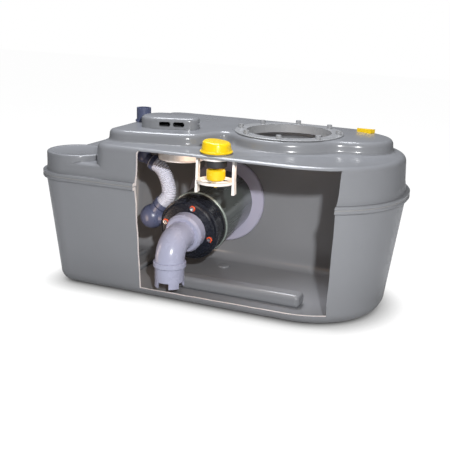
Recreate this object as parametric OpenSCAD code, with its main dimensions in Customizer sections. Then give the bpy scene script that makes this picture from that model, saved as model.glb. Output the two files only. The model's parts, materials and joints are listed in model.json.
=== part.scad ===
// Waste holding tank with a built-in macerator pump, drawn as the opened display piece:
// a two-part tank with a window cut in its front wall, and the pump and fittings inside.
// Millimetres. Origin at the bottom centre, X to the right, Y to the back, Z up.

/* [Tank] */
// Length over the weld band
tank_l = 604; // [500:2:700]
// Depth over the weld band
tank_d = 312; // [280:2:340]
// Corner radius of the band at the left end
corner_l = 60; // [54:1:70]
// Half of the straight length between the two corners at the right end
corner_flat = 6; // [4:1:60]
// Wall thickness
wall = 4; // [3:0.5:6]
// Height of the tub's weld face
split_z = 193.5; // [180:0.5:205]
// Thickness of each half of the weld band
band_h = 5.5; // [4:0.5:8]
// How far the band stands proud of the wall
band_out = 6; // [4:0.5:9]
// Inward lean of the tub wall from the band to the floor
draft = 24; // [12:1:30]
// Outside radius along the bottom edge
foot_r = 22; // [16:1:28]
// Height of the ledge at the left end
ledge_z = 221; // [214:0.5:226]
// Height of the main deck
deck_z = 256; // [250:0.5:260]
// Height of the raised platform
platform_z = 275; // [270:0.5:282]
// Left end of the deck step
step_x = -189; // [-190:1:-180]
// Radius of the round tower at the left front corner
tower_r = 52.7; // [44:0.1:54]
// Height of the tower
tower_z = 231; // [226:0.5:240]

/* [Window] */
// Left edge of the cut, at its top
win_l = -102; // [-108:1:-96]
// Right edge of the cut, at its top
win_r = 228; // [200:1:240]
// Right edge of the cut, at its bottom
win_r_low = 214; // [190:1:232]
// Lower edge of the cut
win_low = 15; // [14:0.5:16]

/* [Hatch] */
// Centre of the hatch along X
hatch_x = 91; // [85:0.5:100]
// Centre of the hatch along Y
hatch_y = 28.5; // [20:0.5:34]
// Radius of the hatch opening
hatch_r = 71; // [60:0.5:74]
// Radius of the round lobe around the hatch
lobe_r = 97; // [94:0.5:99]
// Circle that the studs stand on
stud_pcd = 166; // [160:1:170]
// Radius of a stud
stud_r = 4.5; // [3:0.1:5]
// Height of a stud above the collar
stud_h = 6; // [5:0.5:14]
// Number of studs
stud_n = 8; // [6:1:10]

/* [Pump] */
// Pump axis along X
pump_x = -64.6; // [-68:0.2:-60]
// Front rim of the motor tube, along Y
rim_y = 8.6; // [6:0.2:11]
// Front rim of the motor tube, height of its centre
rim_z = 101.4; // [98:0.2:105]
// Downward lean of the pump's front
pump_tilt = 6.4; // [5:0.1:8]
// Outside radius of the motor tube
tube_r = 55; // [54:0.5:57]
// Wall of the motor tube
tube_wall = 4; // [3:0.5:5]
// Length of the motor space in the tube
motor_len = 100; // [94:1:102]
// Radius of the ring at the back wall
ring_r = 77; // [70:0.5:80]
// Radius of the pump housing
volute_r = 52; // [50:0.5:52]
// Length of the pump housing
volute_len = 40; // [38:0.5:42]
// Radius of the impeller
impeller_r = 38; // [30:0.5:40]
// Motor shaft radius
shaft_r = 6; // [5:0.5:7]
// Running clearance of the shaft in its bearings
shaft_gap = 0.05; // [0.02:0.01:0.1]
// Radius of the circle the housing screws sit on
screw_pcr = 43; // [41:0.5:43.5]

/* [Suction] */
// Outside radius of the suction pipe
pipe_r = 25; // [24:0.25:26]
// Wall of the suction pipe
pipe_wall = 3.5; // [2:0.25:4]
// Position of the suction pipe, along Y
pipe_y = -98; // [-100:0.5:-94]
// Bend radius of the suction elbow
bend_r = 32; // [30:0.5:34]
// Height of the pipe's open end above the base
pipe_end = 17.5; // [17:0.5:22]

/* [Discharge] */
// Outside radius of the round valve elbow
ball_r = 22; // [21:0.5:23]
// Centre of the valve elbow along X
ball_x = -147; // [-150:0.5:-146]
// Radius of the loose check ball
check_r = 10.5; // [10:0.25:11]
// Inside radius of the hose
hose_in = 10; // [9:0.25:10.5]
// Outside radius of the hose ribs
hose_out = 13; // [12.5:0.25:13.5]
// Number of ribs along the hose
hose_ribs = 32; // [20:1:40]
// Axis of the outlet stub along X
stub_x = -165.4; // [-167:0.2:-163]
// Outside radius of the outlet stub
stub_r = 12.5; // [11:0.25:13]
// Top of the outlet stub
stub_z = 299; // [290:1:305]

/* [Float valve] */
// Axis of the float valve along X
valve_x = 23; // [18:0.5:28]
// Axis of the float valve along Y
valve_y = -115; // [-117:0.5:-105]
// Radius of the knob's brim
knob_r = 26; // [25:0.25:27]
// Height of the knob above its flange
knob_h = 19; // [16:0.5:24]
// Radius of the neck through the deck
neck_r = 21; // [20:0.25:21.5]
// Radius of the float
float_r = 15; // [12:0.25:15.5]
// Travel of the float
float_travel = 2.7; // [1.5:0.1:2.9]
// Radius of the float's guide pin
guide_r = 2.5; // [2:0.1:3]
// Running clearance of the guide pin and the knob's stem
guide_gap = 0.06; // [0.02:0.01:0.1]

/* [Vent] */
// Centre of the filter along X
filter_x = -70; // [-74:0.5:-68]
// Centre of the filter along Y
filter_y = -48; // [-50:0.5:-44]
// Radius of the filter
filter_r = 39; // [36:0.5:40]
// Lower face of the filter
filter_low = 225; // [222:0.5:235]
// Width of the vent hood's front face
hood_w = 66; // [60:1:70]
// Height of the vent hood
hood_h = 20; // [16:0.5:24]

/* [Hidden] */
$fn = 48;
// Half sizes of the band outline
hx = tank_l / 2;
hy = tank_d / 2;
// The right end is almost a half circle, so its corners follow the depth
corner_r = hy - corner_flat;
// Joint layer between the two halves of the band
seam_h = 1;
cover_z = split_z + seam_h;
band_top = cover_z + band_h;
band_low = split_z - band_h;
// Deck and platform undersides
deck_in = deck_z - wall;
plat_in = platform_z - wall;
win_top = deck_in - 0.5;
// Pump values along its axis, forward of the tube rim
seal_h = 1;
volute_end = volute_len;
tube_in = tube_r - tube_wall;
ring_h = 6;
gasket_h = 1;
plate_z = -motor_len;
// The pump axis meets the leaning back wall here
wall_k = draft / band_low;
wall_a = atan(wall_k);
wall_t = (hy - wall - band_out - draft + wall_k * rim_z - rim_y) / (cos(pump_tilt) - wall_k * sin(pump_tilt));
// Play between a moulded hole and what sits in it
hole_gap = 0.3;
seat_gap = 0.2;
chamber_r = volute_r - 8;
inlet_r = pipe_r - pipe_wall;
collar_end = 62;
// Start and end of the elbow's bend
bend_z = (rim_y - pipe_y - bend_r * (1 - sin(pump_tilt))) / cos(pump_tilt);
bend_cy = pipe_y + bend_r;
bend_cz = rim_z - bend_z * sin(pump_tilt) - bend_r * cos(pump_tilt);
// Valve elbow: its port is square to the pump's side
port_z = 14;
port_up = 6;
port_r = 13;
ball_y = rim_y - port_z * cos(pump_tilt) - port_up * sin(pump_tilt);
ball_z = rim_z - port_z * sin(pump_tilt) + port_up * cos(pump_tilt);
port_face = pump_x - ball_x - volute_r - 5.1;
// Rest place of the check ball, just off its seat
check_hole = 6;
check_rest = 17 - sqrt(check_r * check_r - check_hole * check_hole) - 0.15;
// Hose spigot leaves the ball upward and to the right
spig_a = atan2(20, 26);
spig_in = ball_r + 3;
// The outlet's lower end turns down to meet the hose
stub_y = ball_y;
tail_z = 214;
tail_a = 26;
tail_in = 17;
// The hose slips over each spigot with a little room
spigot_r = hose_in - 0.3;
// Float valve levels
neck_low = deck_z - 10;
seat_low = neck_low - 12;
float_top = seat_low - 0.3 - float_travel;
cage_top = deck_z - 43;
cage_low = cage_top - 4;
float_low = cage_top + 0.3;

// One point on the rounded outline, drawn in from the band by d
function arc_pts(cx, cy, r, a0, n) =
  [for (i = [0 : n]) let (a = a0 + 90 * i / n) [cx + r * cos(a), cy + r * sin(a)]];
function outline(xl, rl, d) = concat(
  arc_pts(hx - corner_r, hy - corner_r, corner_r - d, 0, 12),
  arc_pts(xl + rl, hy - rl, rl - d, 90, 8),
  arc_pts(xl + rl, rl - hy, rl - d, 180, 8),
  arc_pts(hx - corner_r, corner_r - hy, corner_r - d, 270, 12));
function lean(z) = band_out + draft * (band_low - z) / band_low;

// A thin slice of the outline at one height, and a solid through a list of slices
module slice(xl, rl, d, z) translate([0, 0, z]) linear_extrude(0.01) polygon(outline(xl, rl, d));
module solid(xl, rl, steps) hull() for (s = steps) slice(xl, rl, s[0], s[1] - (s == steps[0] ? 0 : 0.01));

// Places a child on the pump axis: Z forward from the tube rim, Y up
module on_pump() translate([pump_x, rim_y, rim_z]) rotate([90 + pump_tilt, 0, 0]) children();
// Places a child on the back wall where the pump meets it: Z forward from the wall's inner face
module on_wall() translate([pump_x, rim_y + wall_t * cos(pump_tilt), rim_z + wall_t * sin(pump_tilt)])
  rotate([90 - wall_a, 0, 0]) children();
module on_valve() translate([valve_x, valve_y, 0]) children();
module tube(r, ri, z0, z1) translate([0, 0, z0]) difference() {
  cylinder(r = r, h = z1 - z0);
  translate([0, 0, -1]) cylinder(r = ri, h = z1 - z0 + 2);
}
// A round pad with a rolled top edge
module puck(x, y, r, top, low) translate([x, y, low]) rotate_extrude($fn = 40)
  polygon([[0, 0], [r, 0], [r, top - low - 8], [r - 2.3, top - low - 2.3], [r - 8, top - low], [0, top - low]]);

module window() translate([0, -100, 0]) rotate([90, 0, 0]) linear_extrude(height = 120)
  polygon([[win_l - 3, win_low], [win_r_low, win_low + 2.5], [win_r, win_top],
    [win_l + 4, win_top], [win_l + 1, win_top - 1], [win_l, win_top - 4]]);

module tub_outer() {
  solid(-hx, corner_l, [for (a = [0 : 22.5 : 90])
    [lean(foot_r) + foot_r * (1 - sin(a)), foot_r * (1 - cos(a))]]);
  solid(-hx, corner_l, [[lean(foot_r), foot_r], [lean(split_z), split_z]]);
}
module tub_inner() {
  r = foot_r - wall;
  solid(-hx, corner_l, [for (a = [0 : 30 : 90])
    [lean(foot_r) + wall + r * (1 - sin(a)), wall + r * (1 - cos(a))]]);
  solid(-hx, corner_l, [[lean(foot_r) + wall, foot_r - 0.02], [lean(split_z) + wall, split_z + 1]]);
}
module tank_tub() color([0.47, 0.47, 0.45]) union() {
  difference() {
    union() {
      tub_outer();
      translate([0, 0, band_low]) linear_extrude(band_h) polygon(outline(-hx, corner_l, 0));
    }
    tub_inner();
    window();
  }
  // raised bar along the floor, and a round mark behind it
  hull() for (x = [-102, 147]) for (y = [-60, -44]) translate([x, y, 3]) {
    cylinder(r = 8, h = 18);
    cylinder(r = 4, h = 22);
  }
  hull() {
    translate([-40, 76, 3]) cylinder(r = 11, h = 2.5);
    translate([-40, 76, 3]) cylinder(r = 9, h = 3.5);
  }
  // stiffening ribs on the left part of the floor
  for (x = [-210, -170]) hull() {
    translate([x - 5, -80, 3]) cube([10, 160, 4]);
    translate([x - 3, -80, 3]) cube([6, 160, 8]);
  }
}

// The cover: ledge, deck, platform lobes and tower, drawn in by d all round
module cover_form(d, low) {
  solid(-hx, corner_l, [[band_out + d, low], [band_out + 2 + d, ledge_z - d - 8],
    [band_out + 4.3 + d, ledge_z - d - 2.3], [band_out + 10 + d, ledge_z - d]]);
  solid(step_x - 8, 40, [[band_out + 2 + d, low], [band_out + 4 + d, deck_z - d - 10],
    [band_out + 6.5 + d, deck_z - d - 3], [band_out + 12 + d, deck_z - d]]);
  r = 35 - d;
  hull() {
    puck(step_x + 36, -80, r, platform_z - d, deck_z - 20);
    puck(-54, -58, r, platform_z - d, deck_z - 20);
    puck(step_x + 36, 103, r, platform_z - d, deck_z - 20);
    puck(-40, 103, r, platform_z - d, deck_z - 20);
  }
  hull() {
    puck(-40, 103, r, platform_z - d, deck_z - 20);
    puck(hx - 126, 100, r, platform_z - d, deck_z - 20);
  }
  puck(hatch_x, hatch_y, lobe_r - d, platform_z - d, deck_z - 20);
  puck(hx - 118, 60, 64 - d, platform_z - d, deck_z - 20);
  hull() {
    puck(-10, 30, 40 - d, platform_z - d, deck_z - 20);
    puck(70, 30, 60 - d, platform_z - d, deck_z - 20);
  }
  translate([corner_l - hx, corner_l - hy, 0]) translate([0, 0, low])
    cylinder(r = tower_r - d, h = tower_z - d - low);
}
module tank_cover() color([0.47, 0.47, 0.45]) difference() {
  union() {
    cover_form(0, cover_z);
    translate([0, 0, cover_z]) linear_extrude(band_h) polygon(outline(-hx, corner_l, 0));
  }
  cover_form(wall, cover_z - 1);
  window();
  // recess in the tower's top, and the holes for the fittings
  translate([corner_l - hx, corner_l - hy, tower_z - 1.5]) cylinder(r = tower_r - 7, h = 5);
  translate([hatch_x, hatch_y, plat_in - 5]) cylinder(r = hatch_r + 9 + hole_gap, h = 20, $fn = 96);
  translate([stub_x, stub_y, plat_in - 5]) cylinder(r = stub_r + hole_gap, h = 20, $fn = 96);
  on_valve() translate([0, 0, deck_in - 5]) cylinder(r = neck_r + hole_gap, h = 30, $fn = 96);
  translate([filter_x - 6, filter_y + 10, plat_in - 5]) cylinder(r = 10, h = 20);
}
module seam_gasket() color([0.30, 0.30, 0.29]) difference() {
  translate([0, 0, split_z]) linear_extrude(seam_h) difference() {
    polygon(outline(-hx, corner_l, 0.5));
    polygon(outline(-hx, corner_l, band_out + wall));
  }
  window();
}

module hatch_collar() color([0.52, 0.52, 0.51]) translate([hatch_x, hatch_y, platform_z])
  rotate_extrude($fn = 96) polygon([[hatch_r, -12], [hatch_r + 9, -12], [hatch_r + 9, 0.6],
    [hatch_r + 20, 0.6], [hatch_r + 20, 1.2], [hatch_r + 19, 2], [hatch_r, 2]]);
module hatch_gasket() color([0.12, 0.12, 0.12]) translate([hatch_x, hatch_y, platform_z])
  tube(hatch_r + 18, hatch_r + 9.1, 0, 0.6);
module hatch_studs() color([0.62, 0.62, 0.62]) translate([hatch_x, hatch_y, platform_z + 2])
  for (i = [0 : stud_n - 1]) rotate([0, 0, 8 + i * 360 / stud_n]) translate([stud_pcd / 2, 0, 0])
    cylinder(r = stud_r, h = stud_h);

// Vent hood: a low dome with a flat face turned a little to the right, and slots in the face
function hood_plan(d) = let (w = hood_w / 2) [[d - w, d], [w - d, d], [w + 6 - d, 7 + d], [w + 9 - d, 30],
  [w - 12, 62 - d], [-w - 2, 66 - d], [-w - 25 + d, 45], [-w - 25 + d, 14 + d]];
module hood_slice(d, z) translate([0, 0, z]) linear_extrude(0.1) polygon(hood_plan(d));
module hood_dome(d, h) hull() {
  hood_slice(d, 0);
  hood_slice(d + 0.6, h * 0.62);
  hood_slice(d + 3.5, h * 0.88);
  translate([0, 0, h * 0.14]) scale([0.8, 0.7, 1]) translate([0, 12, 0]) hood_slice(d + 8, h * 0.86 - 0.1);
}
module vent_hood() color([0.45, 0.45, 0.43]) translate([-82.5, -55.5, platform_z]) rotate([0, 0, 18.4]) difference() {
  hood_dome(0, hood_h);
  translate([0, 0, -0.5]) hood_dome(3, hood_h - 2.5);
  for (s = [-15, 8]) translate([s, 0, hood_h * 0.4]) rotate([90, 0, 0]) linear_extrude(height = 9, center = true)
    polygon([[-9, -3.5], [8, -4], [9.5, 0], [7, 3], [-6, 4], [-9.5, 1]]);
  translate([hood_w / 2 + 6, 14, hood_h * 0.4]) rotate([0, 0, 82]) rotate([90, 0, 0])
    linear_extrude(height = 9, center = true) polygon([[-6, -3.5], [5, -3.5], [6, 1], [3, 3.5], [-4, 3.5]]);
}
module filter_cartridge() color([0.92, 0.92, 0.90]) translate([filter_x, filter_y, 0]) rotate_extrude($fn = 64)
  polygon([[0, filter_low], [filter_r - 4, filter_low], [filter_r - 1, filter_low + 1],
    [filter_r, filter_low + 4], [filter_r, plat_in - 2], [0, plat_in - 2]]);
module filter_gasket() color([0.1, 0.1, 0.1]) translate([filter_x, filter_y, 0])
  tube(filter_r - 10, filter_r - 15, plat_in - 2, plat_in);
module flow_marker() color([0.98, 0.80, 0.08]) translate([hx - 99, 100, platform_z]) rotate([0, 0, -8])
  linear_extrude(6) polygon([[-16, 1], [12, -7], [14.5, 6.5]]);

module pump_tube() color([0.16, 0.18, 0.17]) difference() {
  on_pump() tube(tube_r, tube_in, -wall_t - 20, 0);
  on_wall() translate([-100, -100, seat_gap - 80]) cube([200, 200, 80]);
}
module wall_ring() color([0.66, 0.65, 0.70]) difference() {
  on_wall() rotate_extrude($fn = 96) polygon([[0, gasket_h], [ring_r, gasket_h], [ring_r, gasket_h + ring_h - 2],
    [ring_r - 2, gasket_h + ring_h], [0, gasket_h + ring_h]]);
  on_pump() translate([0, 0, -wall_t - 40]) cylinder(r = tube_r + 0.05, h = 80);
}
module wall_gasket() color([0.08, 0.08, 0.08]) difference() {
  on_wall() translate([0, 0, seat_gap]) cylinder(r = ring_r - 3, h = gasket_h - seat_gap);
  on_pump() translate([0, 0, -wall_t - 40]) cylinder(r = tube_r + 0.05, h = 80);
}
module pump_housing() color([0.06, 0.06, 0.07]) on_pump() difference() {
  union() {
    rotate_extrude($fn = 96) polygon([[0, seal_h], [volute_r, seal_h], [volute_r, 26], [volute_r + 3, 27],
      [volute_r + 3, 33], [volute_r, 34], [volute_r - 2, 38], [volute_r - 4, volute_end], [0, volute_end]]);
    translate([0, port_up, port_z]) rotate([0, -90, 0]) cylinder(r = port_r - 1, h = volute_r + 5);
  }
  translate([0, 0, seal_h - 1]) cylinder(r = chamber_r, h = 31);
  cylinder(r = inlet_r, h = volute_end + 1);
  translate([0, port_up, port_z]) rotate([0, -90, 0]) cylinder(r = 8, h = volute_r + 9);
  for (i = [0 : 3]) rotate([0, 0, 75 + 90 * i]) translate([screw_pcr, 0, volute_end - 7])
    cylinder(r = 2, h = 10, $fn = 24);
}
module housing_seal() color([0.10, 0.10, 0.10]) on_pump() tube(volute_r + 2, chamber_r, 0, seal_h);
module housing_screws() color([0.80, 0.80, 0.82]) on_pump() for (i = [0 : 3])
  rotate([0, 0, 75 + 90 * i]) translate([screw_pcr, 0, 0]) {
    translate([0, 0, volute_end - 7]) cylinder(r = 2, h = 10, $fn = 24);
    translate([0, 0, volute_end + 1.2]) difference() {
      cylinder(r = 3.6, h = 3.4, $fn = 24);
      translate([0, 0, 1.4]) cylinder(r = 1.8, h = 4, $fn = 6);
    }
  }
module screw_washers() color([0.85, 0.25, 0.10]) on_pump() for (i = [0 : 3])
  rotate([0, 0, 75 + 90 * i]) translate([screw_pcr, 0, 0]) tube(5, 2, volute_end, volute_end + 1.2);

// Motor inside the tube
module bulkhead() color([0.45, 0.46, 0.47]) on_pump() rotate_extrude($fn = 96)
  polygon([[12, 0], [tube_in, 0], [tube_in, -8], [20, -8], [20, -24], [14, -24], [14, -9.5], [12, -9.5]]);
module shaft_seal() color([0.08, 0.08, 0.08]) on_pump() tube(12, shaft_r + shaft_gap, -8, 0);
module front_bearing() color([0.70, 0.70, 0.72]) on_pump() tube(14, shaft_r + shaft_gap, -24, -10);
module rear_bearing() color([0.70, 0.70, 0.72]) on_pump() tube(11, shaft_r + shaft_gap, plate_z + 6, plate_z + 16);
module motor_plate() color([0.45, 0.46, 0.47]) on_pump() rotate_extrude($fn = 96)
  polygon([[0, plate_z], [tube_in, plate_z], [tube_in, plate_z + 6], [18, plate_z + 6], [18, plate_z + 16],
    [11, plate_z + 16], [11, plate_z + 6], [0, plate_z + 6]]);
module stator() color([0.55, 0.33, 0.16]) on_pump() tube(tube_in, 32, plate_z + 20, -28);
module rotor_core() color([0.42, 0.42, 0.43]) on_pump() tube(31.4, shaft_r, plate_z + 22, -30);
module motor_shaft() color([0.75, 0.75, 0.77]) on_pump() translate([0, 0, plate_z + 7])
  cylinder(r = shaft_r, h = 20 - plate_z);
module impeller() color([0.15, 0.15, 0.16]) on_pump() difference() {
  union() {
    translate([0, 0, 5]) cylinder(r = impeller_r, h = 3);
    translate([0, 0, 5]) cylinder(r = 11, h = 14);
    for (i = [0 : 5]) rotate([0, 0, 60 * i]) translate([8, -1.5, 7]) cube([impeller_r - 10, 3, 13]);
  }
  translate([0, 0, 4]) cylinder(r = shaft_r, h = 20);
}
module macerator_blade() color([0.78, 0.78, 0.80]) on_pump() difference() {
  translate([0, 0, 21]) intersection() {
    union() {
      cylinder(r = 9, h = 4);
      for (i = [0, 1]) rotate([0, 0, 90 * i]) translate([-20, -2.5, 0]) cube([40, 5, 4]);
    }
    cylinder(r = 19, h = 10);
  }
  translate([0, 0, 20]) cylinder(r = shaft_r, h = 10);
}

// Suction side
module elbow_collar() color([0.62, 0.62, 0.70]) on_pump() rotate_extrude($fn = 72)
  polygon([[pipe_r, volute_end], [34, volute_end], [34, collar_end - 5], [31, collar_end], [pipe_r, collar_end]]);
module suction_spigot() color([0.62, 0.62, 0.70]) on_pump() tube(pipe_r, inlet_r, volute_end, bend_z);
module suction_elbow() color([0.62, 0.62, 0.70]) translate([pump_x, bend_cy, bend_cz]) rotate([0, 90, 0])
  rotate([0, 0, 180 + pump_tilt]) rotate_extrude(angle = 90 - pump_tilt, $fn = 72)
    translate([bend_r, 0]) difference() {
      circle(r = pipe_r);
      circle(r = inlet_r);
    }
module elbow_socket() color([0.62, 0.62, 0.70]) translate([pump_x, pipe_y, bend_cz]) rotate_extrude($fn = 72)
  polygon([[pipe_r, 0], [pipe_r, -9], [pipe_r + 2.2, -9], [pipe_r + 2.9, -8], [pipe_r + 2.9, -1], [pipe_r + 2, 0]]);
module suction_pipe() color([0.62, 0.62, 0.70]) translate([pump_x, pipe_y, 0]) difference() {
  tube(pipe_r, inlet_r, pipe_end, bend_cz);
  for (i = [0, 1]) rotate([0, 0, 90 * i]) translate([-40, -10, pipe_end - 1]) cube([80, 20, 11]);
}

// Discharge side
module valve_elbow() color([0.07, 0.08, 0.12]) translate([ball_x, ball_y, ball_z]) difference() {
  union() {
    rotate([0, 0, 100]) sphere(r = ball_r, $fn = 64);
    rotate([0, 90, 0]) cylinder(r = port_r, h = port_face);
    rotate([0, spig_a, 0]) {
      cylinder(r = 15, h = spig_in);
      cylinder(r = spigot_r, h = spig_in + 24);
    }
  }
  rotate([0, 0, 100]) sphere(r = ball_r - 3.5, $fn = 64);
  rotate([0, 90, 0]) cylinder(r = 8, h = port_face + 1);
  rotate([0, spig_a, 0]) cylinder(r = 7.5, h = spig_in + 25);
  // room for the pump's own port beside the spigot's collar
  translate([port_face, 0, 0]) rotate([0, 90, 0]) cylinder(r = port_r - 0.7, h = 20);
}
module check_seat() color([0.25, 0.25, 0.26]) translate([ball_x, ball_y, ball_z]) rotate([0, 90, 0])
  tube(8, check_hole, 17, port_face);
module check_ball() color([0.75, 0.30, 0.10]) translate([ball_x + check_rest, ball_y, ball_z])
  sphere(r = check_r, $fn = 48);

// Hose: a ribbed sweep through hand-placed route points, straight at each end
hose_start = [ball_x + spig_in * sin(spig_a), ball_y, ball_z + spig_in * cos(spig_a)];
tail_dir = [cos(tail_a), 0, -sin(tail_a)];
tail_top = [stub_x, stub_y, tail_z];
hose_route = [hose_start, hose_start + 24 * [sin(spig_a), 0, cos(spig_a)], [-114.6, ball_y, 157.5],
  [-118.8, ball_y, 175], [-126.5, ball_y, 190], tail_top + (tail_in + 16) * tail_dir, tail_top + tail_in * tail_dir];
function cr(a, b, c, d, t) = 0.5 * (2 * b + (c - a) * t + (2 * a - 5 * b + 4 * c - d) * t * t
  + (3 * b - a - 3 * c + d) * t * t * t);
function at(k) = hose_route[max(0, min(len(hose_route) - 1, k))];
function on_route(u) = let (k = min(floor(u), len(hose_route) - 2), t = u - k)
  (k == 0 || k == len(hose_route) - 2) ? at(k) * (1 - t) + at(k + 1) * t
  : cr(at(k - 1), at(k), at(k + 1), at(k + 2), t);
function unit(v) = v / norm(v);
function rib_ring(u, r, n) = let (m = len(hose_route) - 1, e = 0.02, p = on_route(u),
    f = unit(on_route(min(m, u + e)) - on_route(max(0, u - e))),
    s = unit(cross(f, [0, 1, 0])), w = cross(s, f))
  [for (i = [0 : n - 1]) p + r * (cos(360 * i / n) * s + sin(360 * i / n) * w)];
module corrugated_hose() color([0.74, 0.74, 0.80]) {
  n = 16;
  m = len(hose_route) - 1;
  us = [for (i = [0 : 2 * hose_ribs]) m * i / (2 * hose_ribs)];
  outer = [for (i = [0 : 2 * hose_ribs]) rib_ring(us[i], i % 2 == 1 ? hose_out : hose_out - 1.6, n)];
  inner = [for (i = [2 * hose_ribs : -1 : 0]) rib_ring(us[i], hose_in, n)];
  rings = concat(outer, inner);
  pts = [for (r = rings) each r];
  c = len(rings);
  polyhedron(pts, [for (k = [0 : c - 1]) for (i = [0 : n - 1]) for (h = [0, 1])
    let (a = k * n + i, b = k * n + (i + 1) % n, d = ((k + 1) % c) * n + i, e = ((k + 1) % c) * n + (i + 1) % n)
    h == 0 ? [a, d, e] : [a, e, b]], convexity = 8);
}
module hose_clip_low() color([0.07, 0.08, 0.12]) translate(hose_start) rotate([0, spig_a, 0])
  tube(hose_out + 2, hose_out, 2, 10);
module hose_clip_high() color([0.07, 0.08, 0.12]) translate(tail_top) rotate([0, 90 + tail_a, 0])
  tube(hose_out + 1.2, hose_out, tail_in + 3, tail_in + 10);
module outlet_stub() color([0.07, 0.08, 0.12]) difference() {
  union() {
    translate([stub_x, stub_y, tail_z]) cylinder(r = stub_r, h = stub_z - tail_z);
    translate(tail_top) rotate([0, 0, 100]) sphere(r = stub_r);
    translate(tail_top) rotate([0, 90 + tail_a, 0]) cylinder(r = spigot_r, h = tail_in + 14);
    translate([stub_x, stub_y, platform_z]) cylinder(r = stub_r + 2, h = 3);
  }
  translate([stub_x, stub_y, tail_z]) cylinder(r = stub_r - 3, h = stub_z);
  translate(tail_top) rotate([0, 90 + tail_a, 0]) cylinder(r = hose_in - 2.5, h = tail_in + 15);
}
module stub_nut() color([0.07, 0.08, 0.12]) translate([stub_x, stub_y, plat_in - 6.5]) difference() {
  rotate([0, 0, 30]) cylinder(r = stub_r + 3.5, h = 4, $fn = 6);
  translate([0, 0, -1]) cylinder(r = stub_r + 0.05, h = 6, $fn = 96);
}

// Float valve under the knob
module valve_housing() color([0.50, 0.50, 0.52]) on_valve() rotate_extrude($fn = 72)
  polygon([[5 + guide_gap, deck_z + 1], [5 + guide_gap, deck_z - 6], [neck_r - 4, deck_z - 6],
    [neck_r - 4, neck_low], [neck_r - 2, neck_low], [neck_r, neck_low + 3], [neck_r, deck_z],
    [neck_r + 3, deck_z], [neck_r + 2, deck_z + 1]]);
module valve_knob() color([0.98, 0.84, 0.05]) on_valve() {
  translate([0, 0, deck_z + 1.2]) {
    rotate_extrude($fn = 72) polygon([[0, 0], [knob_r - 1, 0], [knob_r, 1.5], [knob_r - 1, 3.5], [knob_r - 3, 4.5], [0, 4.5]]);
    hull() {
      translate([0, 0, 4]) cylinder(r = knob_r - 2.5, h = 1, $fn = 48);
      translate([0, 0, knob_h - 5]) rotate([0, 5, 0]) cylinder(r = knob_r - 4.5, h = 1, $fn = 48);
      translate([0, 0, knob_h - 2.2]) rotate([0, 5, 0]) cylinder(r = knob_r - 9, h = 1, $fn = 48);
    }
  }
  translate([0, 0, deck_z - 11]) cylinder(r = 5, h = 13);
}
module stem_clip() color([0.75, 0.75, 0.77]) on_valve() tube(8, 5, deck_z - 10, deck_z - 8);
module seat_ring() color([0.07, 0.07, 0.08]) on_valve() rotate_extrude($fn = 72)
  polygon([[10, seat_low], [16, seat_low], [17, seat_low + 1.5], [17, neck_low - 1.5], [18.5, neck_low - 1],
    [18.5, neck_low], [10, neck_low]]);
module valve_float() color([0.98, 0.84, 0.05]) on_valve() {
  rotate_extrude($fn = 64) polygon([[0, float_low], [float_r - 2, float_low], [float_r, float_low + 2],
    [float_r, float_top - 2], [float_r - 2, float_top], [0, float_top]]);
  translate([0, 0, cage_low - 8]) cylinder(r = guide_r, h = 16);
  translate([0, 0, float_top - 1]) cylinder(r = 7, h = 6);
}
module float_cage() color([0.93, 0.92, 0.92]) on_valve() {
  tube(neck_r + 4, neck_r, neck_low + 1, neck_low + 5);
  tube(neck_r + 8.5, neck_r + 3, cage_low, cage_top);
  for (i = [0, 1]) rotate([0, 0, 8 + 180 * i]) {
    translate([neck_r + 2, -6, neck_low + 1]) cube([8, 12, 4]);
    translate([neck_r + 7, -6, cage_low - 4]) cube([3.5, 12, neck_low + 5 - cage_low + 4]);
    hull() {
      translate([neck_r + 7, -6, cage_low - 2]) cube([3.5, 12, 6]);
      translate([neck_r + 7, -7, cage_low - 17]) cube([4.5, 14, 1]);
    }
  }
  difference() {
    union() {
      for (i = [0, 1]) rotate([0, 0, 8 + 90 * i]) translate([-neck_r - 4, -2.5, cage_low]) cube([2 * neck_r + 8, 5, 3]);
      translate([0, 0, cage_low - 3]) cylinder(r = 7, h = 7);
    }
    translate([0, 0, cage_low - 20]) cylinder(r = guide_r + guide_gap, h = 40);
  }
}

tank_tub();
tank_cover();
seam_gasket();
hatch_collar();
hatch_gasket();
hatch_studs();
vent_hood();
filter_cartridge();
filter_gasket();
flow_marker();
pump_tube();
wall_ring();
wall_gasket();
pump_housing();
housing_seal();
housing_screws();
screw_washers();
bulkhead();
shaft_seal();
front_bearing();
rear_bearing();
motor_plate();
stator();
rotor_core();
motor_shaft();
impeller();
macerator_blade();
elbow_collar();
suction_spigot();
suction_elbow();
elbow_socket();
suction_pipe();
valve_elbow();
check_seat();
check_ball();
corrugated_hose();
hose_clip_low();
hose_clip_high();
outlet_stub();
stub_nut();
valve_housing();
valve_knob();
stem_clip();
seat_ring();
valve_float();
float_cage();
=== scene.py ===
# %% [markdown]
# The object is a waste holding tank with a macerator pump inside, shown as an opened display piece: a
# window is cut in the front wall so that the pump, its hose and the float valve can be seen. The packed
# solids come in first as a fixed frame. The smooth mouldings are then modelled over them, and the turned
# and drilled pieces stay as they are and only get a finish.

# %% Load the frame
import json
import math

import bmesh
import bpy
from mathutils import Matrix, Vector


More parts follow.
